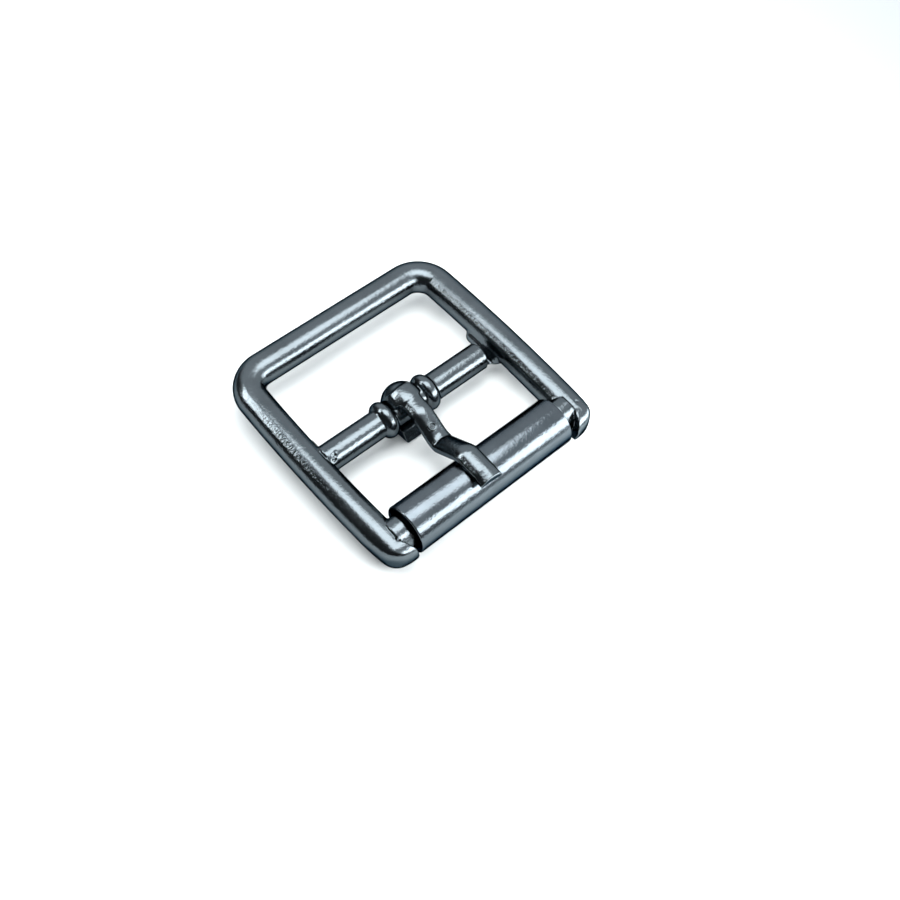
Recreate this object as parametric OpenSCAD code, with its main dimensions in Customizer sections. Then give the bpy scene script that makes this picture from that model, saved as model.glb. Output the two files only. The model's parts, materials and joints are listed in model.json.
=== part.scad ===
// Roller buckle for a narrow strap: a cast frame with a centre bar, a loose
// roller on its front bar, and a half-round prong that swings on the centre bar.
// Every piece is drawn in the plane of the frame: the centre bar's axis is the
// X axis, the roller lies toward -Y and the back bar toward +Y. A last
// step sets the buckle down as it lies, on its roller and its prong's tail.

/* [Frame] */
// Inside width of the frame at the centre bar
strap_w = 20; // [20:0.02:20.1]
// Diameter of the cast rod of the frame
rod_d = 3.2; // [2.9:0.1:3.2]
// How far each side bar bows outward over its length
side_bow = 0.28; // [0.1:0.02:0.6]
// Distance from the centre bar's axis to the back bar's axis
back_reach = 11.8; // [9:0.2:16]
// Distance from the centre bar's axis to the front bar's axis
front_reach = 10.2; // [9.6:0.1:12]
// Radius of the rod's centre line at the two back corners
back_corner_r = 2.7; // [2.2:0.1:4]
// Radius of the rod's centre line at the two front corners
front_corner_r = 1.7; // [1.7:0.02:1.76]
// Diameter of the front bar that carries the roller
front_bar_d = 3.1; // [2.6:0.1:3.2]

/* [Front lugs] */
// How far the axis of a lug lies in front of the front bar's axis
lug_reach = 1.15; // [1:0.05:1.3]
// Gap between a lug and the end of the roller when the roller is centred
lug_gap = 0.24; // [0.2:0.02:0.26]
// Rounding of a lug's end
lug_round = 0.2; // [0.1:0.02:0.2]

/* [Centre bar] */
// Diameter of the centre bar
bar_d = 2.8; // [2.4:0.1:3]
// Length of the thin neck between the centre bar and the side bar at its right
neck_l = 1.2; // [0.8:0.1:1.6]
// Diameter of the neck
neck_d = 1.8; // [1.4:0.1:1.8]
// How far the axis of the neck lies below the centre bar's axis
neck_drop = 0.3; // [0:0.05:0.3]
// Diameter of the round collars beside the prong
collar_d = 3.75; // [3.2:0.05:4]
// Width of a collar along the bar
collar_w = 1.5; // [1:0.1:1.6]
// Clear width between the two collars
collar_gap = 3.56; // [3.5:0.02:4]
// Where the middle of the pair of collars lies along the bar
collar_mid = -0.78; // [-1.2:0.02:1.2]
// How far a boss stands in from the side bar
boss_reach = 0.4; // [0.3:0.05:0.8]
// Diameter of a boss
boss_d = 1.6; // [1.4:0.1:2]
// Length of a boss along the side bar
boss_l = 4.8; // [4:0.1:6]
// How far the middle of a boss lies behind the centre bar's axis
boss_back = 0.9; // [0:0.1:1.2]
// How far the axis of a boss lies below the frame's middle plane
boss_drop = 0.8; // [0:0.1:0.8]

/* [Roller] */
// Outside diameter of the roller
roller_d = 4.9; // [4.7:0.1:5.2]
// Wall thickness of the roller
roller_wall = 0.5; // [0.4:0.05:0.55]
// Length of the roller
roller_l = 18.4; // [14:0.1:18.4]
// Where the middle of the roller lies along the front bar
roller_mid = -0.12; // [-0.2:0.02:0.2]
// How far the roller's axis lies above the front bar's axis
roller_rise = 0.25; // [0.1:0.05:0.25]
// Bevel on the roller's edges
roller_bevel = 0.12; // [0.05:0.01:0.15]

/* [Prong] */
// Width of the prong's eye
eye_w = 3.36; // [3:0.02:3.4]
// Outside radius of the eye over the bar
eye_r = 2.5; // [2.4:0.05:2.6]
// Radius of the eye's rounded back, seen in section
eye_crown_r = 2; // [1.9:0.05:2.4]
// Gap between the eye and the centre bar
eye_gap = 0.1; // [0.06:0.01:0.1]
// Width of the tail that curls under the bar
tail_w = 2.8; // [2.4:0.1:3.2]
// Thickness of the tail
tail_t = 1.1; // [0.9:0.05:1.2]
// Gap between the tail and the underside of the centre bar
tail_gap = 0.2; // [0.15:0.05:0.3]
// Length of the straight end of the tail along its outer side
tail_end = 2; // [1.4:0.1:2.4]
// Width of the prong's strip
strip_w = 2.4; // [2.3:0.05:2.6]
// Width of the strip at its waist, between the eye and the first bend
waist_w = 2.2; // [2:0.05:2.3]
// Thickness of the strip at its crown
strip_t = 1; // [0.9:0.05:1.1]
// Thickness of the strip at its tip
tip_t = 0.75; // [0.5:0.05:0.9]
// Radius of the strip's half-round back, seen in section
crown_r = 1.45; // [1.4:0.05:1.8]
// Angle by which the strip stands askew of its eye
prong_skew = 1.9; // [0:0.1:2]

/* [Hidden] */
$fn = 72;

rod_sides = 20;
lug_steps = 2;
corner_steps = 7;
side_steps = 4;
bend_steps = 6;
crown_steps = 12;
tail_steps = 10;

rod_r = rod_d / 2;
bar_r = bar_d / 2;
roller_r = roller_d / 2;
bore_r = roller_r - roller_wall;
eye_bore_r = bar_r + eye_gap;
tail_bore_r = bar_r + tail_gap;
tail_r = tail_bore_r + tail_t;
metal = "#5b6268";
steel = "#6a7076";

// The rest pose: the surface touches the prong's tail and the roller.
rest_span = sqrt(front_reach * front_reach + roller_rise * roller_rise);
rest_tilt = atan(roller_rise / front_reach) - asin((roller_r - tail_r) / rest_span);
back_y = back_reach * cos(rest_tilt) + rod_r;
front_y = (front_reach + lug_reach) * cos(rest_tilt) + rod_r;
rest_shift = (front_y - back_y) / 2;

// The side bar is an arc about a far centre inside the frame.
side_mid_x = strap_w / 2 + rod_r;
side_mid_y = (back_reach - front_reach) / 2;
side_half = (back_reach + front_reach) / 2;
side_r = side_half * side_half / (2 * side_bow);
side_centre_x = side_mid_x - side_r;
lug_y = front_reach + lug_reach;
lug_x = roller_l / 2 + lug_gap;
back_corner_y = back_reach - back_corner_r;
front_corner_y = front_corner_r - lug_y;
back_turn = asin((back_corner_y - side_mid_y) / (side_r - back_corner_r));
front_turn = asin((side_mid_y - front_corner_y) / (side_r - front_corner_r));
side_step = (front_turn + back_turn) / (side_steps + 2);
back_corner_x = side_centre_x + (side_r - back_corner_r) * cos(back_turn);
front_corner_x = side_centre_x + (side_r - front_corner_r) * cos(front_turn);

// The prong's underside from the top of its eye to its tip, one row for each
// bend: straight length before it, angle turned down, radius, width of the strip.
root_y = 0.6;
root_z = eye_bore_r + 0.03;
tip_l = 0.9;
STRAIGHT = 0;
TURN = 1;
RADIUS = 2;
WIDTH = 3;
prong_path = [
    [2.15 + root_y, 24, 1.2, waist_w],
    [1.93, -24, 2.2, strip_w],
    [0.11, -37, 1.2, strip_w],
    [3.04, 35, 1, strip_w],
    [3.2, 0, 1, strip_w]
];

// Angles round the bar, from its back: the eye's two ends, then the tail's.
eye_from = -62;
eye_to = 104;
tail_from = -50;
tail_to = -97;
// The tail's outer side is struck from a little below the bar's axis, and its
// straight inner side is this share of its outer side.
tail_low = 0.25;
tail_inner = 0.67;

// Moves a piece from the plane of the frame to the way it lies.
module laid_down() {
    translate([0, rest_shift, tail_r])
        rotate([rest_tilt, 0, 0])
            children();
}

// A round rod along X between two places on the same axis.
module rod_x(from_x, to_x, d) {
    translate([from_x, 0, 0])
        rotate([0, 90, 0])
            cylinder(d = d, h = to_x - from_x);
}

// A straight round bar along X with a ball at each end.
module capsule_x(length, d) {
    half = (length - d) / 2;
    rotate([0, 90, 0])
        rotate_extrude()
            intersection() {
                union() {
                    for (end = [-half, half])
                        translate([0, end])
                            circle(d = d);
                    translate([-d / 2, -half])
                        square([d, 2 * half]);
                }
                translate([0, -length])
                    square([d, 2 * length]);
            }
}

// The boss that stands in from a side bar round the centre bar's end.
module boss() {
    translate([strap_w / 2 - boss_reach + boss_d / 2, boss_back, -boss_drop])
        rotate([0, 0, 90])
            capsule_x(boss_l, boss_d);
}

// A station on the rod's centre line: place, direction of its outer side, radius.
function station(centre, bend_r, angle, r) =
    [centre[0] + bend_r * cos(angle), centre[1] + bend_r * sin(angle), angle, r];

// Stations along an arc from one angle to another.
function arc_stations(centre, bend_r, from, to, steps) = [
    for (i = [0:steps])
        station(centre, bend_r, from + (to - from) * i / steps, rod_r)
];

// Stations along the rounded end of a lug.
lug_stations = [
    for (i = [0:lug_steps])
        let (angle = 90 * i / lug_steps)
            [
                lug_x + lug_round * (1 - cos(angle)),
                -lug_y,
                -90,
                rod_r - lug_round * (1 - sin(angle))
            ]
];

// Stations from a lug round one side of the frame to the back bar.
side_stations = concat(
    lug_stations,
    arc_stations([front_corner_x, front_corner_y], front_corner_r,
        -90, -front_turn, corner_steps),
    arc_stations([side_centre_x, side_mid_y], side_r,
        side_step - front_turn, back_turn - side_step, side_steps),
    arc_stations([back_corner_x, back_corner_y], back_corner_r,
        back_turn, 90, corner_steps)
);

// The same stations on the other side of the frame, in the order of the rod.
function mirrored(stations) = [
    for (i = [len(stations) - 1:-1:0])
        [-stations[i][0], stations[i][1], 180 - stations[i][2], stations[i][3]]
];

// A closed solid through rings of points, all with the same number of points.
module skin(rings) {
    sides = len(rings[0]);
    last = len(rings) - 1;
    quads = [
        for (i = [0:last - 1], k = [0:sides - 1])
            let (next = (k + 1) % sides)
                [
                    i * sides + k,
                    i * sides + next,
                    (i + 1) * sides + next,
                    (i + 1) * sides + k
                ]
    ];
    first_cap = [for (k = [sides - 1:-1:0]) k];
    last_cap = [for (k = [0:sides - 1]) last * sides + k];
    points = [for (ring = rings, point = ring) point];
    polyhedron(points, concat([first_cap, last_cap], quads), convexity = 6);
}

// A closed round rod through a row of stations.
module rod_through(stations) {
    skin([
        for (s = stations) [
            for (k = [0:rod_sides - 1])
                let (a = 360 * k / rod_sides, out = s[3] * cos(a))
                    [s[0] + out * cos(s[2]), s[1] + out * sin(s[2]), s[3] * sin(a)]
        ]
    ]);
}

// A collar with a rounded rim.
module collar() {
    rim_r = collar_w / 2;
    core_r = collar_d / 2 - rim_r;
    rotate([0, 90, 0])
        rotate_extrude() {
            translate([core_r, 0])
                circle(r = rim_r);
            translate([0, -rim_r])
                square([core_r, collar_w]);
        }
}

module frame() {
    front_end = front_corner_x + front_corner_r / 2;
    collar_x = (collar_gap + collar_w) / 2;
    color(metal)
        laid_down() {
            rod_through(concat(side_stations, mirrored(side_stations)));
            boss();
            mirror([1, 0, 0])
                boss();
            rod_x(-side_mid_x, strap_w / 2 - neck_l, bar_d);
            translate([0, 0, -neck_drop])
                rod_x(0, side_mid_x, neck_d);
            translate([0, -front_reach, 0])
                rod_x(-front_end, front_end, front_bar_d);
            for (side = [-1, 1])
                translate([collar_mid + side * collar_x, 0, 0])
                    collar();
        }
}

module roller() {
    half = roller_l / 2;
    bevel = roller_bevel;
    color(steel)
        laid_down()
            translate([roller_mid, -front_reach, roller_rise])
                rotate([0, 90, 0])
                    rotate_extrude()
                        polygon([
                            [bore_r, -half],
                            [roller_r - bevel, -half],
                            [roller_r, bevel - half],
                            [roller_r, half - bevel],
                            [roller_r - bevel, half],
                            [bore_r, half]
                        ]);
}

// Points on an arc from one angle to another.
function arc(centre, r, from, to, steps) = [
    for (i = [0:steps])
        let (a = from + (to - from) * i / steps)
            [centre[0] + r * cos(a), centre[1] + r * sin(a)]
];

// Half-round outline: X is across the prong, Y is the height over its underside.
function half_round(w, t, r) =
    let (edge = acos(w / (2 * r)))
        concat(
            [[w / 2, 0], [-w / 2, 0]],
            arc([0, t - r], r, 180 - edge, edge, crown_steps)
        );

// One ring of the strip at a place on its underside, standing to the slope there.
function strip_ring(place, slope, w, t) = [
    for (p = half_round(w, strip_t, crown_r))
        let (height = p[1] * t / strip_t)
            [p[0], place[0] - height * sin(slope), place[1] + height * cos(slope)]
];

// A place further down a slope.
function onward(place, slope, distance) =
    [place[0] - distance * cos(slope), place[1] - distance * sin(slope)];

// The rings of one row of the path and of the rows after it.
function strip_rings(row, place, slope) =
    let (
        path = prong_path[row],
        turn = path[TURN],
        side_r = sign(turn) * path[RADIUS],
        foot = onward(place, slope, path[STRAIGHT]),
        centre = [foot[0] + side_r * sin(slope), foot[1] - side_r * cos(slope)],
        bend = [
            for (i = [0:bend_steps])
                let (a = slope + turn * i / bend_steps)
                    [centre[0] - side_r * sin(a), centre[1] + side_r * cos(a), a]
        ]
    )
    row + 1 == len(prong_path) ?
        [
            strip_ring(onward(foot, slope, -tip_l), slope, path[WIDTH], strip_t),
            strip_ring(foot, slope, path[WIDTH], tip_t)
        ] :
        concat(
            [for (b = bend) strip_ring(b, b[2], path[WIDTH], strip_t)],
            strip_rings(row + 1, bend[bend_steps], slope + turn)
        );

// A bend about an axis along X, from an angle in the YZ plane and on.
module prong_bend(from_angle, turn) {
    rotate([90, 0, 90])
        rotate([0, 0, from_angle])
            rotate_extrude(angle = turn)
                children();
}

// The eye over and behind the bar.
module eye() {
    section = half_round(eye_w, eye_r - eye_bore_r, eye_crown_r);
    prong_bend(eye_from, eye_to - eye_from)
        polygon([for (p = section) [eye_bore_r + p[1], p[0]]]);
}

// The flat tail that goes on from the eye below the bar.
module tail() {
    outer = arc([0, -tail_low], tail_r - tail_low,
        tail_from, tail_to, tail_steps);
    inner = arc([0, 0], tail_bore_r, tail_to, tail_from, tail_steps);
    slope = -90 - tail_to;
    outer_end = onward(outer[tail_steps], -slope, tail_end);
    inner_end = onward(inner[0], -slope, tail_end * tail_inner);
    rotate([90, 0, 90])
        linear_extrude(height = tail_w, center = true)
            polygon(concat(outer, [outer_end, inner_end], inner));
}

module prong() {
    color(metal)
        laid_down()
            translate([collar_mid, 0, 0]) {
                eye();
                tail();
                rotate([0, 0, -prong_skew])
                    skin(concat(
                        [strip_ring([root_y, root_z], 0, strip_w, strip_t)],
                        strip_rings(0, [root_y, root_z], 0)
                    ));
            }
}

frame();
roller();
prong();
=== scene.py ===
import json
import math
from typing import NamedTuple

import bpy
import numpy as np
from mathutils import Matrix, Vector


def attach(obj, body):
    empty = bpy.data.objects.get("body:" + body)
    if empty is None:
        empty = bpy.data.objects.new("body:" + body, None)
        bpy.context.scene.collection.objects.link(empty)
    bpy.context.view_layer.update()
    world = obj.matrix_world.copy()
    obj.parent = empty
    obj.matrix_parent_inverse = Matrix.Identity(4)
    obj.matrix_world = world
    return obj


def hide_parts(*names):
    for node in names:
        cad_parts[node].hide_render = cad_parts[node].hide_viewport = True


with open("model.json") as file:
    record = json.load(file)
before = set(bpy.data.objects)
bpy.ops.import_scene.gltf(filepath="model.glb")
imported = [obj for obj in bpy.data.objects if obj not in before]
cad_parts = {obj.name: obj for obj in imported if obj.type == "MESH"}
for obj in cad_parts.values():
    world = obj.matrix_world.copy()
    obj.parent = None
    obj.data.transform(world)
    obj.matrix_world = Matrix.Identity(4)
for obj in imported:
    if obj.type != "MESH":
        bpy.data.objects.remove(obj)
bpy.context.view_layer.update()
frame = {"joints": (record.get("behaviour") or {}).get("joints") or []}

bl_info = {
    "name": "Roller Buckle",
    "version": (1, 0, 0),
    "blender": (4, 5, 0),
    "location": "3D View > Sidebar > Roller Buckle",
    "description": "Builds the detailed roller buckle, its finishes and its stage",
    "category": "Object",
}

MM = 0.001


# Sizes that a user would change, in metres
def size(name, description, mm, low=0.0):
    return bpy.props.FloatProperty(
        name=name, description=description, default=mm * MM, min=low * MM,
        unit="LENGTH", subtype="DISTANCE", precision=5,
    )


def number(name, description, value, low=0.0, high=1.0):
    return bpy.props.FloatProperty(
        name=name, description=description, default=value, min=low, max=high, subtype="FACTOR"
    )


def swing(name, description, degrees):
    return bpy.props.FloatProperty(
        name=name, description=description, default=math.radians(degrees),
        unit="ROTATION", subtype="ANGLE",
    )


def linear(code):
    """An sRGB hex colour as linear red, green and blue."""
    parts = [int(code[i:i + 2], 16) / 255 for i in (1, 3, 5)]
    return tuple(c / 12.92 if c <= 0.04045 else ((c + 0.055) / 1.055) ** 2.4 for c in parts)


def colour(name, description, code):
    return bpy.props.FloatVectorProperty(
        name=name, description=description, default=linear(code), size=3,
        min=0.0, max=1.0, subtype="COLOR",
    )


class BuckleFrameSizes(bpy.types.PropertyGroup):
    """Sizes of the cast frame"""
    inside: size("Inside width", "Clear width between the side bars at the centre bar", 20)
    rod: size("Rod", "Diameter of the frame's rod", 3.2)
    bow: size("Bow", "How far each side bar bows outward", 0.28)
    back: size("Back reach", "Centre bar's axis to back bar's axis", 11.8)
    front: size("Front reach", "Centre bar's axis to front bar's axis", 10.2)
    back_corner: size("Back corner", "Radius of the rod's line at the back corners", 2.7)
    front_corner: size("Front corner", "Radius of the rod's line at the front corners", 1.2)
    front_bar: size("Front bar", "Diameter of the bar inside the roller", 3.1)
    lug_reach: size("Lug reach", "Lug's axis in front of the front bar's axis", 1.13)
    lug_end: size("Lug end", "Distance of a lug's end face from the middle", 9.44)
    bar: size("Centre bar", "Diameter of the centre bar", 2.8)
    collar: size("Collar", "Diameter of a collar", 3.78)
    collar_width: size("Collar width", "Width of a collar along the bar", 1.5)
    collar_gap: size("Collar gap", "Clear width between the collars", 3.56)
    boss: size("Boss", "Diameter of a boss", 1.6)
    boss_length: size("Boss length", "Length of a boss along the side bar", 4.8)


class BuckleProngSizes(bpy.types.PropertyGroup):
    """Sizes of the prong"""
    middle: size("Middle", "Where the prong's eye lies along the centre bar", -0.78, -5)
    bore: size("Bore radius", "Radius of the eye's bore", 1.5)
    eye: size("Eye radius", "Outside radius of the eye over the bar", 2.5)
    eye_width: size("Eye width", "Width of the eye", 3.36)
    eye_crown: size("Eye crown", "Radius of the eye's rounded back in section", 2.0)
    strip_width: size("Strip width", "Width of the half-round strip", 2.4)
    waist: size("Waist", "Width of the strip between the eye and the first bend", 2.2)
    thickness: size("Thickness", "Thickness of the strip at its crown", 1.0)
    crown: size("Crown", "Radius of the strip's half-round back in section", 1.45)
    tip: size("Tip thickness", "Thickness of the strip at its tip", 0.75)
    tail: size("Tail radius", "Outside radius of the tail under the bar", 2.7)
    tail_thickness: size("Tail thickness", "Thickness of the tail", 1.1)
    tail_width: size("Tail width", "Width of the tail", 2.8)
    skew: swing("Skew", "Angle by which the strip stands askew of its eye", 1.9)


class BuckleRollerSizes(bpy.types.PropertyGroup):
    """Sizes of the roller"""
    diameter: size("Diameter", "Outside diameter of the roller", 4.9)
    wall: size("Wall", "Wall thickness of the roller", 0.5)
    length: size("Length", "Length of the roller", 18.4)
    lip: size("Lip", "Rounding of the roller's outer edges", 0.16)


class BuckleFinish(bpy.types.PropertyGroup):
    """Colours and gloss"""
    plating: colour("Plating", "Colour of the dark nickel plating on the casting", "#575e62")
    tube: colour("Tube plating", "Colour of the dark nickel plating on the roller", "#545b60")
    gloss: number("Roughness", "Roughness of the polished plating on the casting", 0.13)
    tube_gloss: number("Tube roughness", "Roughness of the plating on the roller", 0.09)
    grain: number("Grain", "Strength of the fine grain of the plating", 0.6)
    table: colour("Table", "Colour of the table", "#e8ecec")
    daylight: colour("Room", "Colour of the room's soft light", "#e9eef2")


class BuckleSettings(bpy.types.PropertyGroup):
    """All that the panel shows"""
    casting: bpy.props.PointerProperty(type=BuckleFrameSizes)
    prong: bpy.props.PointerProperty(type=BuckleProngSizes)
    roller: bpy.props.PointerProperty(type=BuckleRollerSizes)
    finish: bpy.props.PointerProperty(type=BuckleFinish)


def in_mm(group):
    """The group's lengths in millimetres, by name."""
    return {key: getattr(group, key) / MM for key in group.__annotations__}


# How the buckle lies
def joint(name):
    return next(j for j in frame["joints"] if j["name"] == name)


BAR_AXIS = np.array(joint("prong_swing")["pos_m"]) / MM
ROLLER_AXIS = np.array(joint("roller_spin")["pos_m"]) / MM
ROLLER_IN_PLANE = (-10.2, 0.25)
REST_TILT = (
    math.atan2(ROLLER_AXIS[2] - BAR_AXIS[2], ROLLER_AXIS[1] - BAR_AXIS[1])
    - math.atan2(ROLLER_IN_PLANE[1], ROLLER_IN_PLANE[0])
)


def laid_down(points):
    """Points from the plane of the frame, in millimetres, to where they lie, in metres."""
    c, s = math.cos(REST_TILT), math.sin(REST_TILT)
    x, y, z = np.asarray(points, float).T
    return np.stack([x, y * c - z * s + BAR_AXIS[1], y * s + z * c + BAR_AXIS[2]], 1) * MM


# Distances to forms, all in millimetres
def join(a, b, soft):
    """Both forms as one, with a fillet."""
    h = np.clip(0.5 + 0.5 * (b - a) / soft, 0, 1)
    return b + (a - b) * h - soft * h * (1 - h)


def keep(a, b, soft):
    """What is in both forms, with a rounded edge."""
    return -join(-a, -b, soft)


def to_arc(x, y, centre, radius, start, end):
    """Distance to an arc in a plane, from one angle to another."""
    dx, dy = x - centre[0], y - centre[1]
    angle = np.arctan2(dy, dx)
    middle = (start + end) / 2
    off = (angle - middle + math.pi) % (2 * math.pi) - math.pi
    half = abs(end - start) / 2
    on = np.abs(off) <= half
    far = np.full_like(x, np.inf)
    for a in (start, end):
        ex, ey = radius * math.cos(a), radius * math.sin(a)
        far = np.minimum(far, np.hypot(dx - ex, dy - ey))
    return np.where(on, np.abs(np.hypot(dx, dy) - radius), far)


def to_line(x, y, a, b):
    """Distance to a straight piece in a plane."""
    ux, uy = b[0] - a[0], b[1] - a[1]
    t = np.clip(((x - a[0]) * ux + (y - a[1]) * uy) / (ux * ux + uy * uy), 0, 1)
    return np.hypot(x - a[0] - t * ux, y - a[1] - t * uy)


def in_outline(x, y, outline):
    """Signed distance to a closed outline, below zero inside."""
    far = np.full_like(x, np.inf)
    inside = np.zeros(x.shape, bool)
    for (ax, ay), (bx, by) in zip(outline, outline[1:] + outline[:1]):
        far = np.minimum(far, to_line(x, y, (ax, ay), (bx, by)))
        if ay != by:
            crosses = (ay > y) != (by > y)
            inside ^= crosses & (x < (bx - ax) * (y - ay) / (by - ay) + ax)
    return np.where(inside, -far, far)


def rod_outline(s):
    """The line of the frame's rod on one side, from the sizes."""
    r = s["rod"] / 2
    half = (s["back"] + s["front"]) / 2
    bow_r = half * half / (2 * s["bow"])
    middle_y = (s["back"] - s["front"]) / 2
    centre_x = s["inside"] / 2 + r - bow_r
    lug_y = s["front"] + s["lug_reach"]
    back_y, front_y = s["back"] - s["back_corner"], s["front_corner"] - lug_y
    back_turn = math.asin((back_y - middle_y) / (bow_r - s["back_corner"]))
    front_turn = math.asin((middle_y - front_y) / (bow_r - s["front_corner"]))
    return {
        "side": ((centre_x, middle_y), bow_r, -front_turn, back_turn),
        "back": (
            (centre_x + (bow_r - s["back_corner"]) * math.cos(back_turn), back_y),
            s["back_corner"], back_turn, math.pi / 2,
        ),
        "front_x": centre_x + (bow_r - s["front_corner"]) * math.cos(front_turn),
        "lug_y": -lug_y,
        "side_end": (
            centre_x + bow_r * math.cos(front_turn), middle_y - bow_r * math.sin(front_turn),
        ),
    }


# Fillets and rounded edges, in millimetres
EDGE = 0.1
SHARP_FILLET = 0.05

# Where the side bars' bow ends and the front corners begin, and where they are in full
FRONT_FROM = -8.7
FRONT_FULL = -10.9
FRONT_EASE = 0.5

# The front corners: how far in the rod's line turns, how round they are seen from
# above, and the soft edge of that rounding
KINK_IN = 0.05
CORNER_R = 3.0
CORNER_SOFT = 0.5

# A lug's end, and its inner face, which runs aslant from the roller's end and leans
LUG_OVERLAP = 1.5
LUG_END_EDGE = 0.22
LUG_FACE_X = 10.9
LUG_FACE_Y = -10.55
LUG_FACE_STEP = 0.1
LUG_FACE_TURN = math.radians(26)
LUG_FACE_LEAN = 0.08
LUG_FACE_EDGE = 0.2

# The centre bar ends in a shoulder: on a low, flaring neck at the right, in the rod at the left
NECK_R = 0.9
NECK_FLARE = 0.3
NECK_DROP = 0.45
NECK_TOP = -0.65
NECK_SLOPE = 0.27
NECK_BOTTOM = -1.3
NECK_END = 0.15
NECK_FILLET = 0.3
RIGHT_NECK = 1.3
LEFT_OVERLAP = 0.42
BAR_EDGE = 0.16

# The low bosses beside the centre bar
BOSS_BACK = 0.9
BOSS_REACH = 0.4
BOSS_DROP = 0.8
BOSS_FILLET = 0.25

# The middle of the two collars, and their fillet
MIDDLE = -0.78
COLLAR_FILLET = 0.16

# The front bar is thicker outside the roller
SHOULDER_R = 1.6
SHOULDER_BACK = 0.2
SHOULDER_RISE = 0.16
SHOULDER_EDGE = 0.12

# Casting pits: place and radius
PIT_EDGE = 0.06
PITS = (
    (-9.75, -0.82, 1.42, 0.36),
    (-9.95, -1.15, 1.18, 0.34),
    (-9.45, -0.62, 1.62, 0.38),
    (11.7, -10.45, 1.75, 0.30),
)


def casting_form(s):
    """The cast frame as one distance."""
    line = rod_outline(s)
    r = s["rod"] / 2
    root = s["inside"] / 2
    kink = (line["side_end"][0] - KINK_IN, line["lug_y"])
    corner_x = line["front_x"] + s["front_corner"] + r - CORNER_R
    corner_y = line["lug_y"] - r + CORNER_R

    def rod(ax, y, z):
        """The rod round the outline, with its front corners and its lugs."""
        d = to_arc(ax, y, *line["side"])
        d = np.minimum(d, to_arc(ax, y, *line["back"]))
        d = np.minimum(d, to_line(ax, y, (0, s["back"]), (line["back"][0][0], s["back"])))
        d = np.minimum(d, to_line(ax, y, line["side_end"], kink))
        d = np.minimum(d, to_line(ax, y, (s["lug_end"] - LUG_OVERLAP, line["lug_y"]), kink))
        shape = np.hypot(d, z) - r
        front = y < FRONT_FROM
        seen = np.hypot(np.maximum(ax - corner_x, 0), np.maximum(corner_y - y, 0)) - CORNER_R
        seen -= FRONT_EASE * np.clip((y - FRONT_FULL) / (FRONT_FROM - FRONT_FULL), 0, 1) ** 2
        shape = np.where(front, keep(shape, seen, CORNER_SOFT), shape)
        shape = np.where(front, keep(shape, s["lug_end"] - ax, LUG_END_EDGE), shape)
        across = (LUG_FACE_X - ax) * math.cos(LUG_FACE_TURN)
        inward = across + (y - LUG_FACE_Y) * math.sin(LUG_FACE_TURN)
        cut_back = np.minimum(
            inward - LUG_FACE_LEAN * (1 - z), LUG_FACE_Y - LUG_FACE_STEP - y,
        )
        return np.where(front, keep(shape, cut_back, LUG_FACE_EDGE), shape)

    def neck(x, y, z):
        """The low neck between the centre bar's right end and the side bar."""
        along = x - root + RIGHT_NECK
        flare = NECK_R + NECK_FLARE * along
        shape = (np.hypot(y, z + NECK_DROP) - flare) / math.hypot(1, NECK_FLARE)
        shape = keep(shape, x - root - NECK_END, EDGE)
        top = z - NECK_TOP + NECK_SLOPE * along
        return keep(shape, np.maximum(NECK_BOTTOM - z, top), EDGE)

    def centre_bar(x, y, z):
        ends = np.maximum(x - root + RIGHT_NECK, -x - root - LEFT_OVERLAP)
        return keep(np.hypot(y, z) - s["bar"] / 2, ends, BAR_EDGE)

    def boss(ax, y, z):
        low = s["boss"] / 2
        half = s["boss_length"] / 2 - low
        by = np.clip(y, BOSS_BACK - half, BOSS_BACK + half)
        across = ax - root + BOSS_REACH - low
        return np.sqrt(across ** 2 + (y - by) ** 2 + (z + BOSS_DROP) ** 2) - low

    def collar(x, y, z, side):
        rim = s["collar_width"] / 2
        at = MIDDLE + side * (s["collar_gap"] + s["collar_width"]) / 2
        beyond = np.maximum(np.hypot(y, z) - (s["collar"] / 2 - rim), 0)
        return np.hypot(beyond, x - at) - rim

    def front_bar(ax, y, z):
        """The bar inside the roller, and its thicker shoulders outside it."""
        ends = ax - root - r / 2
        bar = keep(np.hypot(y + s["front"], z) - s["front_bar"] / 2, ends, EDGE)
        off = np.hypot(y + s["front"] - SHOULDER_BACK, z - SHOULDER_RISE)
        shoulder = keep(off - SHOULDER_R, ends, EDGE)
        return np.minimum(bar, keep(shoulder, s["lug_end"] - ax, SHOULDER_EDGE))

    def form(p):
        x, y, z = p.T
        ax = np.abs(x)
        whole = join(rod(ax, y, z), neck(x, y, z), NECK_FILLET)
        whole = join(whole, centre_bar(x, y, z), SHARP_FILLET)
        whole = join(whole, boss(ax, y, z), BOSS_FILLET)
        for side in (-1, 1):
            whole = join(whole, collar(x, y, z, side), COLLAR_FILLET)
        whole = join(whole, front_bar(ax, y, z), SHARP_FILLET)
        for px, py, pz, pit in PITS:
            dent = pit - np.sqrt((x - px) ** 2 + (y - py) ** 2 + (z - pz) ** 2)
            whole = keep(whole, dent, PIT_EDGE)
        return whole

    return form


# The underside of the prong, from the top of its eye to its tip: where it starts, and
# for each stretch its length, the bend after it in degrees and that bend's radius
PRONG_START = (0.6, 1.53)
PRONG_BENDS = (
    (2.75, 24.0, 1.2),
    (1.93, -24.0, 2.2),
    (0.16, -37.0, 1.05),
    (3.09, 35.0, 1.0),
    (3.2, 0.0, 1.0),
)

# How far along the strip its width runs from the waist, 0, to the full strip, 1
WAIST_AT = (0.0, 2.6, 4.0, 5.4, 7.2)
WAIST_SHARE = (1.0, 0.0, 0.0, 0.25, 1.0)
TIP_RUN = 1.1

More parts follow.
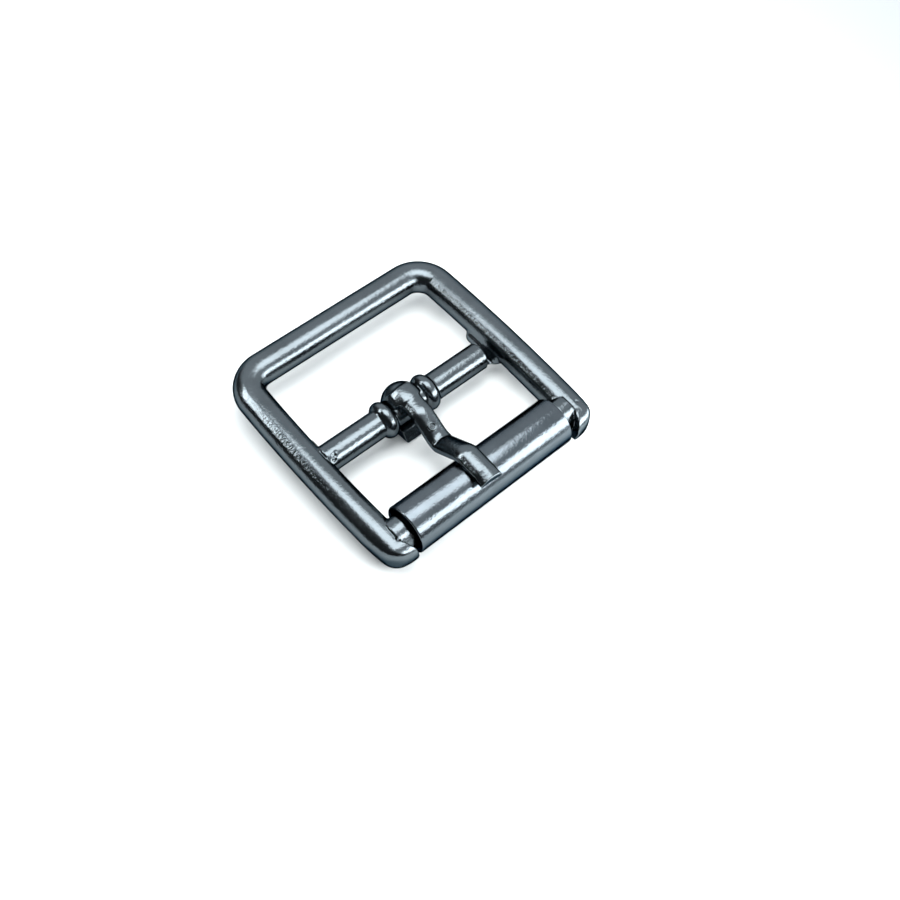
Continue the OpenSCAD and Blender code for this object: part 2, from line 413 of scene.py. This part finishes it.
# Fillets and rounded edges of the prong
STRIP_EDGE = 0.16
TIP_EDGE = 0.14
EYE_EDGE = 0.14
EYE_FILLET = 0.6
TAIL_EDGE = 0.12
TAIL_FILLET = 0.2
BORE_EDGE = 0.04

# The eye is open between these two angles, where the tail comes in
EYE_ENDS = ((math.radians(-62), -1), (math.radians(104), 1))

# The tail curls round the bar between two angles, then runs on straight, a little upward
TAIL_CURL = np.radians(np.linspace(-50, -97, 12))
TAIL_DROP = 0.25
TAIL_RISE = math.radians(7)
TAIL_RUN_OUTSIDE = 2.0
TAIL_RUN_INSIDE = 1.34

# The round mark of the mould on the strip
RING_X = -0.15
RING_ALONG = 4.45
RING_R = 0.36
RING_RISE = 0.12
RING_FILLET = 0.04


def prong_line():
    """The straight and bent stretches of the prong's underside."""
    place, slope, gone, out = np.array(PRONG_START), 0.0, 0.0, []
    for length, turn, radius in PRONG_BENDS:
        ahead = np.array([-math.cos(slope), -math.sin(slope)])
        up = np.array([-math.sin(slope), math.cos(slope)])
        out.append(("straight", place, ahead, up, length, gone))
        place, gone = place + ahead * length, gone + length
        if turn:
            side = math.copysign(1, turn)
            centre = place - side * radius * up
            out.append(("bend", centre, side, radius, slope, math.radians(turn), gone))
            slope += math.radians(turn)
            up = np.array([-math.sin(slope), math.cos(slope)])
            place, gone = centre + side * radius * up, gone + radius * abs(math.radians(turn))
    return out, gone


def on_prong(y, z, stretches):
    """How far along the underside each point lies, and how high over it."""
    best = np.full_like(y, np.inf)
    along, high = np.zeros_like(y), np.zeros_like(y)
    for piece in stretches:
        if piece[0] == "straight":
            _, place, ahead, up, length, gone = piece
            u, v = y - place[0], z - place[1]
            raw = u * ahead[0] + v * ahead[1]
            t = np.clip(raw, 0, length)
            h = u * up[0] + v * up[1]
            far = np.hypot(raw - t, h)
            s = gone + raw
        else:
            _, centre, side, radius, slope, turn, gone = piece
            u, v = (y - centre[0]) * side, (z - centre[1]) * side
            angle = (np.arctan2(-u, v) - slope - turn / 2 + math.pi) % (2 * math.pi) - math.pi
            t = np.clip(angle + turn / 2, min(turn, 0), max(turn, 0))
            rho = np.hypot(u, v)
            h = (rho - radius) * side
            far = np.where(
                np.abs(angle) <= abs(turn) / 2, np.abs(h),
                np.hypot(u + radius * np.sin(slope + t), v - radius * np.cos(slope + t)),
            )
            s = gone + t * side * radius
        near = far < best
        best = np.where(near, far, best)
        along, high = np.where(near, s, along), np.where(near, h, high)
    return along, high


def half_round(x, h, width, thickness, crown, soft):
    """Section of the prong: flat below, rounded above."""
    round_top = np.hypot(x, h - thickness + crown) - crown
    return keep(keep(round_top, np.abs(x) - width / 2, soft), -h, soft)


def tail_outline(s):
    """The tail seen from the side: a flat strip that curls on under the bar."""
    outer_r, inner_r = s["tail"] - TAIL_DROP, s["tail"] - s["tail_thickness"]
    outer = [(outer_r * math.cos(a), outer_r * math.sin(a) - TAIL_DROP) for a in TAIL_CURL]
    inner = [(inner_r * math.cos(a), inner_r * math.sin(a)) for a in TAIL_CURL[::-1]]
    ahead = (-math.cos(TAIL_RISE), math.sin(TAIL_RISE))
    ends = [
        (place[0] + ahead[0] * run, place[1] + ahead[1] * run)
        for place, run in ((outer[-1], TAIL_RUN_OUTSIDE), (inner[0], TAIL_RUN_INSIDE))
    ]
    return outer + ends + inner


def prong_form(s):
    """The prong as one distance."""
    stretches, whole_length = prong_line()
    widths = s["waist"] + np.array(WAIST_SHARE) * (s["strip_width"] - s["waist"])
    skew = s["skew"] * MM
    tilt = (math.cos(skew), math.sin(skew))
    outline = tail_outline(s)

    def strip(x, y, z):
        """The half-round strip with its ring mark, skewed from the eye."""
        sx = x * tilt[0] - y * tilt[1]
        sy = x * tilt[1] + y * tilt[0]
        along, high = on_prong(sy, z, stretches)
        width = np.interp(along, WAIST_AT, widths)
        thin = np.interp(
            along, [whole_length - TIP_RUN, whole_length], [1, s["tip"] / s["thickness"]],
        )
        shape = half_round(sx, high / thin, width, s["thickness"], s["crown"], STRIP_EDGE)
        top = s["thickness"] - s["crown"] + np.sqrt(np.maximum(s["crown"] ** 2 - sx * sx, 0))
        ring = np.hypot(sx - RING_X, along - RING_ALONG) - RING_R
        shape = join(shape, np.hypot(ring, high - top) - RING_RISE, RING_FILLET)
        shape = keep(shape, along - whole_length, TIP_EDGE)
        return keep(shape, -along, EDGE)

    def eye(x, y, z, rho):
        """The part round the bar, rounded outside."""
        depth = s["eye"] - s["bore"]
        shape = half_round(x, rho - s["bore"], s["eye_width"], depth, s["eye_crown"], EYE_EDGE)
        for angle, side in EYE_ENDS:
            shape = keep(shape, side * (z * math.cos(angle) - y * math.sin(angle)), EDGE)
        return shape

    def form(p):
        x, y, z = p.T
        x = x - s["middle"]
        rho = np.hypot(y, z)
        tail = keep(in_outline(y, z, outline), np.abs(x) - s["tail_width"] / 2, TAIL_EDGE)
        whole = join(strip(x, y, z), eye(x, y, z, rho), EYE_FILLET)
        return keep(join(whole, tail, TAIL_FILLET), s["bore"] - rho, BORE_EDGE)

    return form


# Meshing a form: the size of its squares in millimetres, in how many parts the space
# is worked through, how often the points are evened out, and by how much each time
CASTING_SQUARE = 0.15
PRONG_SQUARE = 0.065
PARTS = 8
PASSES = 4
EVENING = 0.5
LEAST_SLOPE = 0.2

# The space round each form, in the plane of the frame
SIDE_ROOM = 0.5
CASTING_Y = (-13.4, 13.8)
CASTING_Z = (-2.1, 2.2)
PRONG_LOW = (-3.1, -12.8, -3.2)
PRONG_HIGH = (1.2, 2.9, 3.9)


def slope_of(form, points, step=0.002):
    """The direction in which the distance grows fastest."""
    out = np.empty_like(points)
    for axis in range(3):
        shift = np.zeros(3)
        shift[axis] = step
        out[:, axis] = (form(points + shift) - form(points - shift)) / (2 * step)
    return out


def skin(form, low, high, step):
    """Points, squares and outward directions of a form's surface, on an even net."""
    counts = [int(math.ceil((b - a) / step)) + 1 for a, b in zip(low, high)]
    axes = [a + step * np.arange(n) for a, n in zip(low, counts)]
    grid = np.stack(np.meshgrid(*axes, indexing="ij"), -1)
    value = np.concatenate([form(part.reshape(-1, 3)) for part in np.array_split(grid, PARTS)])
    value = value.reshape(counts)
    cells = [n - 1 for n in counts]
    total = np.zeros(cells + [3])
    hits = np.zeros(cells)
    squares = []
    offsets = [(0, 0), (1, 0), (1, 1), (0, 1)]
    for axis in range(3):
        b, c = (axis + 1) % 3, (axis + 2) % 3
        first = [slice(None)] * 3
        second = [slice(None)] * 3
        first[axis], second[axis] = slice(0, -1), slice(1, None)
        va, vb = value[tuple(first)], value[tuple(second)]
        crossed = (va < 0) != (vb < 0)
        with np.errstate(divide="ignore", invalid="ignore"):
            share = np.where(crossed, va / (va - vb), 0)
        place = grid[tuple(first)].copy()
        place[..., axis] += share * step
        for ob, oc in offsets:
            into = [slice(None)] * 3
            of = [slice(None)] * 3
            into[b] = slice(0, cells[b])
            into[c] = slice(0, cells[c])
            of[b] = slice(ob, ob + cells[b])
            of[c] = slice(oc, oc + cells[c])
            mask = crossed[tuple(of)]
            total[tuple(into)] += np.where(mask[..., None], place[tuple(of)], 0)
            hits[tuple(into)] += mask
        at = np.argwhere(crossed)
        at = at[(at[:, b] > 0) & (at[:, c] > 0) & (at[:, b] < cells[b]) & (at[:, c] < cells[c])]
        inward = va[tuple(at.T)] < 0
        ring = []
        for ob, oc in ((-1, -1), (0, -1), (0, 0), (-1, 0)):
            cell = at.copy()
            cell[:, b] += ob
            cell[:, c] += oc
            ring.append(np.ravel_multi_index(tuple(cell.T), cells))
        ring = np.stack(ring, 1)
        ring[~inward] = ring[~inward][:, ::-1]
        squares.append(ring)
    used = np.flatnonzero(hits.ravel())
    number_of = np.full(hits.size, -1)
    number_of[used] = np.arange(len(used))
    points = total.reshape(-1, 3)[used] / hits.ravel()[used][:, None]
    squares = number_of[np.concatenate(squares)]
    for _ in range(PASSES):
        points = relaxed(points, squares)
        points = onto(form, points)
    points = onto(form, points)
    out = slope_of(form, points)
    return points, squares, out / np.linalg.norm(out, axis=1, keepdims=True)


def relaxed(points, squares):
    """Each point part of the way to the middle of its neighbours."""
    total = np.zeros_like(points)
    count = np.zeros(len(points))
    for k in range(4):
        here = squares[:, k]
        for other in (squares[:, (k + 1) % 4], squares[:, (k + 3) % 4]):
            count += np.bincount(here, minlength=len(points))
            for axis in range(3):
                total[:, axis] += np.bincount(here, points[other, axis], len(points))
    return points + EVENING * (total / count[:, None] - points)


def onto(form, points):
    """Points brought onto the form's surface."""
    g = slope_of(form, points)
    steep = np.maximum((g * g).sum(1), LEAST_SLOPE)[:, None]
    return points - form(points)[:, None] * g / steep


def turned(vectors):
    """Directions turned to the way the buckle lies."""
    c, s = math.cos(REST_TILT), math.sin(REST_TILT)
    x, y, z = vectors.T
    return np.stack([x, y * c - z * s, y * s + z * c], 1)


def piece_from(name, points, faces, directions, material, body, node):
    """A finished piece that stands for a CAD node."""
    mesh = bpy.data.meshes.new(name)
    mesh.from_pydata(laid_down(points).tolist(), [], faces.tolist())
    mesh.validate()
    mesh.shade_smooth()
    mesh.normals_split_custom_set_from_vertices(turned(directions).tolist())
    mesh.materials.append(material)
    piece = bpy.data.objects.new(name, mesh)
    bpy.context.scene.collection.objects.link(piece)
    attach(piece, body)
    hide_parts(node)
    return piece


def revolved(profile, turns, centre):
    """Points, faces and directions of a closed profile of (x, radius) turned about X."""
    profile = np.array(profile)
    angles = np.linspace(0, 2 * math.pi, turns, endpoint=False)
    n = len(profile)
    x = np.repeat(profile[None, :, 0], turns, 0)
    y = profile[None, :, 1] * np.cos(angles)[:, None]
    z = profile[None, :, 1] * np.sin(angles)[:, None]
    points = np.stack([x, y, z], -1).reshape(-1, 3) + np.array(centre)
    edge = np.roll(profile, -1, 0) - profile
    edge_out = np.stack([-edge[:, 1], edge[:, 0]], 1)
    edge_out /= np.linalg.norm(edge_out, axis=1, keepdims=True)
    out = edge_out + np.roll(edge_out, 1, 0)
    out /= np.linalg.norm(out, axis=1, keepdims=True)
    directions = np.stack([
        np.repeat(out[None, :, 0], turns, 0),
        out[None, :, 1] * np.cos(angles)[:, None],
        out[None, :, 1] * np.sin(angles)[:, None],
    ], -1).reshape(-1, 3)
    faces = []
    for i in range(turns):
        j = (i + 1) % turns
        for k in range(n):
            m = (k + 1) % n
            faces.append((i * n + k, i * n + m, j * n + m, j * n + k))
    return points, np.array(faces), directions


# Materials. The real grain is a few hundredths of a millimetre across, too fine to show,
# so it is drawn as coarse as it needs to show. Widths and depths are in millimetres
GRAIN_ACROSS = 0.24
GRAIN_DEPTH = 0.04
UNEVEN_ACROSS = 1.1
UNEVEN_DEPTH = 0.036
PATCH_ACROSS = 3.0
CAST_UNEVEN = 0.3
TUBE_UNEVEN = 0.15
GLANCING = "#616569"


def add(tree, kind, links=None, **settings):
    """A node with its settings, and its inputs set or linked by name."""
    node = tree.nodes.new(kind)
    for key, value in settings.items():
        setattr(node, key, value)
    for key, value in (links or {}).items():
        if isinstance(value, bpy.types.NodeSocket):
            tree.links.new(value, node.inputs[key])
        else:
            node.inputs[key].default_value = value
    return node


def plated(name, tint, rough, uneven, finish):
    """Black nickel, polished after tumbling: dark and mirror-like, with a fine grain that
    frays the edges of the highlights, a faint unevenness and slightly dull patches. It
    stays dark at a glancing angle."""
    material = bpy.data.materials.new(name)
    material.use_nodes = True
    tree = material.node_tree
    tree.nodes.clear()
    where = add(tree, "ShaderNodeTexCoord").outputs["Object"]
    per_mm = 1 / MM
    grain = add(tree, "ShaderNodeTexNoise", {
        "Vector": where, "Scale": per_mm / GRAIN_ACROSS, "Detail": 3.0, "Roughness": 0.6,
    })
    waves = add(tree, "ShaderNodeTexNoise", {
        "Vector": where, "Scale": per_mm / UNEVEN_ACROSS, "Detail": 2.0, "Roughness": 0.5,
    })
    patch = add(tree, "ShaderNodeTexNoise", {
        "Vector": where, "Scale": per_mm / PATCH_ACROSS, "Detail": 4.0, "Roughness": 0.65,
    })
    gloss = add(tree, "ShaderNodeMapRange", {
        "Value": patch.outputs["Fac"], "From Min": 0.35, "From Max": 0.7,
        "To Min": rough * 0.75, "To Max": rough * 1.6,
    })
    shade = add(tree, "ShaderNodeMapRange", {
        "Value": patch.outputs["Fac"], "From Min": 0.3, "From Max": 0.7,
        "To Min": 0.9, "To Max": 1.1,
    })
    base = add(tree, "ShaderNodeVectorMath", {
        0: tuple(tint), "Scale": shade.outputs["Result"],
    }, operation="SCALE")
    fine = add(tree, "ShaderNodeBump", {
        "Height": grain.outputs["Fac"], "Strength": finish.grain,
        "Distance": GRAIN_DEPTH * MM,
    })
    wide = add(tree, "ShaderNodeBump", {
        "Height": waves.outputs["Fac"], "Strength": uneven, "Distance": UNEVEN_DEPTH * MM,
        "Normal": fine.outputs["Normal"],
    })
    shader = add(tree, "ShaderNodeBsdfPrincipled", {
        "Base Color": base.outputs["Vector"], "Metallic": 1.0,
        "Roughness": gloss.outputs["Result"], "Normal": wide.outputs["Normal"],
        "Specular Tint": (*linear(GLANCING), 1),
    })
    add(tree, "ShaderNodeOutputMaterial", {"Surface": shader.outputs["BSDF"]})
    return material


def white_board(finish):
    """Smooth white board: matt, a touch cool."""
    material = bpy.data.materials.new("white_board")
    material.use_nodes = True
    shader = material.node_tree.nodes["Principled BSDF"]
    shader.inputs["Base Color"].default_value = (*finish.table, 1)
    shader.inputs["Roughness"].default_value = 0.9
    shader.inputs["Specular IOR Level"].default_value = 0.1
    return material


def settings_of(context):
    return context.scene.roller_buckle


class BUCKLE_OT_casting(bpy.types.Operator):
    """Builds the cast frame with its bars, collars, lugs and bosses"""
    bl_idname = "buckle.casting"
    bl_label = "Cast frame"

    def execute(self, context):
        settings = settings_of(context)
        sizes = in_mm(settings.casting)
        reach = sizes["inside"] / 2 + sizes["rod"] + SIDE_ROOM
        low, high = (
            (side * reach, CASTING_Y[end], CASTING_Z[end]) for end, side in enumerate((-1, 1))
        )
        points, faces, out = skin(casting_form(sizes), low, high, CASTING_SQUARE)
        finish = settings.finish
        material = plated(
            "black_nickel_on_zinc", finish.plating, finish.gloss, CAST_UNEVEN, finish,
        )
        piece_from("cast_frame", points, faces, out, material, "frame", "frame")
        return {"FINISHED"}


class BUCKLE_OT_prong(bpy.types.Operator):
    """Builds the prong: its domed eye, its tail and its half-round strip"""
    bl_idname = "buckle.prong"
    bl_label = "Prong"

    def execute(self, context):
        form = prong_form(in_mm(settings_of(context).prong))
        points, faces, out = skin(form, PRONG_LOW, PRONG_HIGH, PRONG_SQUARE)
        material = bpy.data.materials.get("black_nickel_on_zinc")
        if material is None:
            raise RuntimeError("the cast frame is built first")
        piece_from("prong_bar", points, faces, out, material, "prong", "prong")
        return {"FINISHED"}


# The rounding of the roller's inner edges in millimetres, and its facets round
BORE_LIP = 0.06
ROLLER_FACETS = 160


class BUCKLE_OT_roller(bpy.types.Operator):
    """Builds the loose roller"""
    bl_idname = "buckle.roller"
    bl_label = "Roller"

    def execute(self, context):
        settings = settings_of(context)
        s = in_mm(settings.roller)
        half, outer = s["length"] / 2, s["diameter"] / 2
        inner, lip = outer - s["wall"], s["lip"]
        quarter = np.linspace(0, math.pi / 2, 6)
        turn = [
            (half - lip + lip * math.sin(a), outer - lip + lip * math.cos(a)) for a in quarter
        ] + [
            (half - BORE_LIP + BORE_LIP * math.cos(a), inner + BORE_LIP - BORE_LIP * math.sin(a))
            for a in quarter
        ]
        profile = turn + [(-x, r) for x, r in reversed(turn)]
        centre = (ROLLER_AXIS[0], *ROLLER_IN_PLANE)
        points, faces, out = revolved(profile, ROLLER_FACETS, centre)
        finish = settings.finish
        material = plated(
            "black_nickel_on_steel", finish.tube, finish.tube_gloss, TUBE_UNEVEN, finish,
        )
        faces = faces[:, ::-1]
        piece_from("roller_tube", points, faces, out, material, "roller", "roller")
        return {"FINISHED"}


# The point of view, fitted to the photograph: its place in millimetres and its angles in
# degrees, in the plane of the buckle's frame, and its lens and sensor in millimetres
VIEW_FROM = (-41.158, -43.12, 89.431)
VIEW_TURN = -47.777
VIEW_RISE = 58.534
VIEW_ROLL = 7.65
VIEW_LENS = 45.256
VIEW_SENSOR = 36
VIEW_NEAREST = 0.005

# The table's half width in metres
TABLE_HALF = 2.0

# The room: the side it is lit from, how bright it is there and opposite, and where
# between the two it starts to brighten and is bright
ROOM_SIDE = (0.85, 0.1, 0.52)
ROOM_DARK = 0.1
ROOM_LIT = 1.5
ROOM_DARK_AT = -0.02
ROOM_LIT_AT = 0.36


class LightBox(NamedTuple):
    """A light box that faces the buckle, in degrees and millimetres. Its bearing is from X,
    its rise is above the table and its turn is its width's, from level."""
    name: str
    bearing: float
    rise: float
    distance: float
    turn: float
    width: float
    length: float
    brightness: float


# Each box stands where its reflection along the bars is like the photograph's highlight
LAMPS = (
    LightBox("overhead_box", bearing=31, rise=86, distance=66, turn=34,
             width=66, length=40, brightness=6),
    LightBox("right_box", bearing=-56, rise=23, distance=45, turn=-18,
             width=70, length=18, brightness=10),
    LightBox("left_box", bearing=134, rise=40, distance=200, turn=-53,
             width=120, length=28, brightness=18),
)


class BUCKLE_OT_stage(bpy.types.Operator):
    """Builds the table, the lights and the camera"""
    bl_idname = "buckle.stage"
    bl_label = "Stage"

    def execute(self, context):
        finish = settings_of(context).finish
        self.table(finish)
        self.room(context, finish)
        self.lamps(context)
        self.camera(context)
        context.scene.view_settings.view_transform = "Standard"
        return {"FINISHED"}

    def table(self, finish):
        mesh = bpy.data.meshes.new("table")
        signs = ((-1, -1), (1, -1), (1, 1), (-1, 1))
        corners = [(x * TABLE_HALF, y * TABLE_HALF, 0) for x, y in signs]
        mesh.from_pydata(corners, [], [(0, 1, 2, 3)])
        mesh.materials.append(white_board(finish))
        table = bpy.data.objects.new("table", mesh)
        bpy.context.scene.collection.objects.link(table)

    def room(self, context, finish):
        """A soft room: it lights the metal from one side, dark on the other, and looks
        plain behind the table."""
        world = bpy.data.worlds.new("studio")
        world.use_nodes = True
        tree = world.node_tree
        tree.nodes.clear()
        where = add(tree, "ShaderNodeTexCoord").outputs["Generated"]
        lit = add(tree, "ShaderNodeVectorMath", {0: where, 1: ROOM_SIDE}, operation="DOT_PRODUCT")
        fade = add(tree, "ShaderNodeMapRange", {
            "Value": lit.outputs["Value"], "From Min": ROOM_DARK_AT, "From Max": ROOM_LIT_AT,
            "To Min": ROOM_DARK, "To Max": ROOM_LIT,
        }, interpolation_type="SMOOTHSTEP")
        light = add(tree, "ShaderNodeBackground", {
            "Color": (*finish.daylight, 1), "Strength": fade.outputs["Result"],
        })
        wall = add(tree, "ShaderNodeBackground", {"Color": (*finish.table, 1), "Strength": 1.0})
        seen = add(tree, "ShaderNodeLightPath").outputs["Is Camera Ray"]
        both = add(tree, "ShaderNodeMixShader", {
            0: seen, 1: light.outputs["Background"], 2: wall.outputs["Background"],
        })
        add(tree, "ShaderNodeOutputWorld", {"Surface": both.outputs["Shader"]})
        context.scene.world = world

    def lamps(self, context):
        for box in LAMPS:
            light = bpy.data.lights.new(box.name, "AREA")
            light.shape = "RECTANGLE"
            light.size, light.size_y = box.width * MM, box.length * MM
            light.energy = box.brightness * math.pi * light.size * light.size_y
            lamp = bpy.data.objects.new(box.name, light)
            context.scene.collection.objects.link(lamp)
            bearing, rise, turn = (math.radians(a) for a in (box.bearing, box.rise, box.turn))
            flat = math.cos(rise)
            back = Vector((flat * math.cos(bearing), flat * math.sin(bearing), math.sin(rise)))
            level = Vector((-math.sin(bearing), math.cos(bearing), 0))
            across = math.cos(turn) * level + math.sin(turn) * back.cross(level)
            axes = Matrix((across, back.cross(across), back)).transposed()
            lamp.matrix_world = Matrix.Translation(back * box.distance * MM) @ axes.to_4x4()
            lamp.visible_camera = False

    def camera(self, context):
        """The photograph's point of view, given in the plane of the buckle's frame."""
        turn, rise, roll = (math.radians(a) for a in (VIEW_TURN, VIEW_RISE, VIEW_ROLL))
        ahead = np.array([
            -math.sin(turn) * math.cos(rise), math.cos(turn) * math.cos(rise), -math.sin(rise),
        ])
        right = np.array([math.cos(turn), math.sin(turn), 0])
        up = np.cross(right, ahead)
        right, up = (
            math.cos(roll) * right + math.sin(roll) * up,
            math.cos(roll) * up - math.sin(roll) * right,
        )
        axes = turned(np.array([right, up, -ahead]))
        lens = bpy.data.cameras.new("photo_camera")
        lens.sensor_width = VIEW_SENSOR
        lens.lens = VIEW_LENS
        lens.clip_start = VIEW_NEAREST
        camera = bpy.data.objects.new("photo_camera", lens)
        context.scene.collection.objects.link(camera)
        place = laid_down(np.array([VIEW_FROM]))[0]
        camera.matrix_world = Matrix.Translation(Vector(place)) @ Matrix(axes.T.tolist()).to_4x4()
        context.scene.camera = camera


class BUCKLE_PT_panel(bpy.types.Panel):
    """The buckle's sizes and finishes"""
    bl_idname = "BUCKLE_PT_panel"
    bl_label = "Roller Buckle"
    bl_space_type = "VIEW_3D"
    bl_region_type = "UI"
    bl_category = "Roller Buckle"

    def draw(self, context):
        settings = settings_of(context)
        for key in ("casting", "prong", "roller", "finish"):
            box = self.layout.box()
            group = getattr(settings, key)
            for name in group.__annotations__:
                box.prop(group, name)
        for operator in OPERATORS:
            self.layout.operator(operator.bl_idname)


OPERATORS = (BUCKLE_OT_casting, BUCKLE_OT_prong, BUCKLE_OT_roller, BUCKLE_OT_stage)
CLASSES = (
    BuckleFrameSizes, BuckleProngSizes, BuckleRollerSizes, BuckleFinish, BuckleSettings,
    *OPERATORS, BUCKLE_PT_panel,
)


def register():
    for kind in CLASSES:
        bpy.utils.register_class(kind)
    bpy.types.Scene.roller_buckle = bpy.props.PointerProperty(type=BuckleSettings)


def unregister():
    del bpy.types.Scene.roller_buckle
    for kind in reversed(CLASSES):
        bpy.utils.unregister_class(kind)


def main():
    register()
    bpy.ops.buckle.casting()
    bpy.ops.buckle.prong()
    bpy.ops.buckle.roller()
    bpy.ops.buckle.stage()


if __name__ == "__main__":
    main()
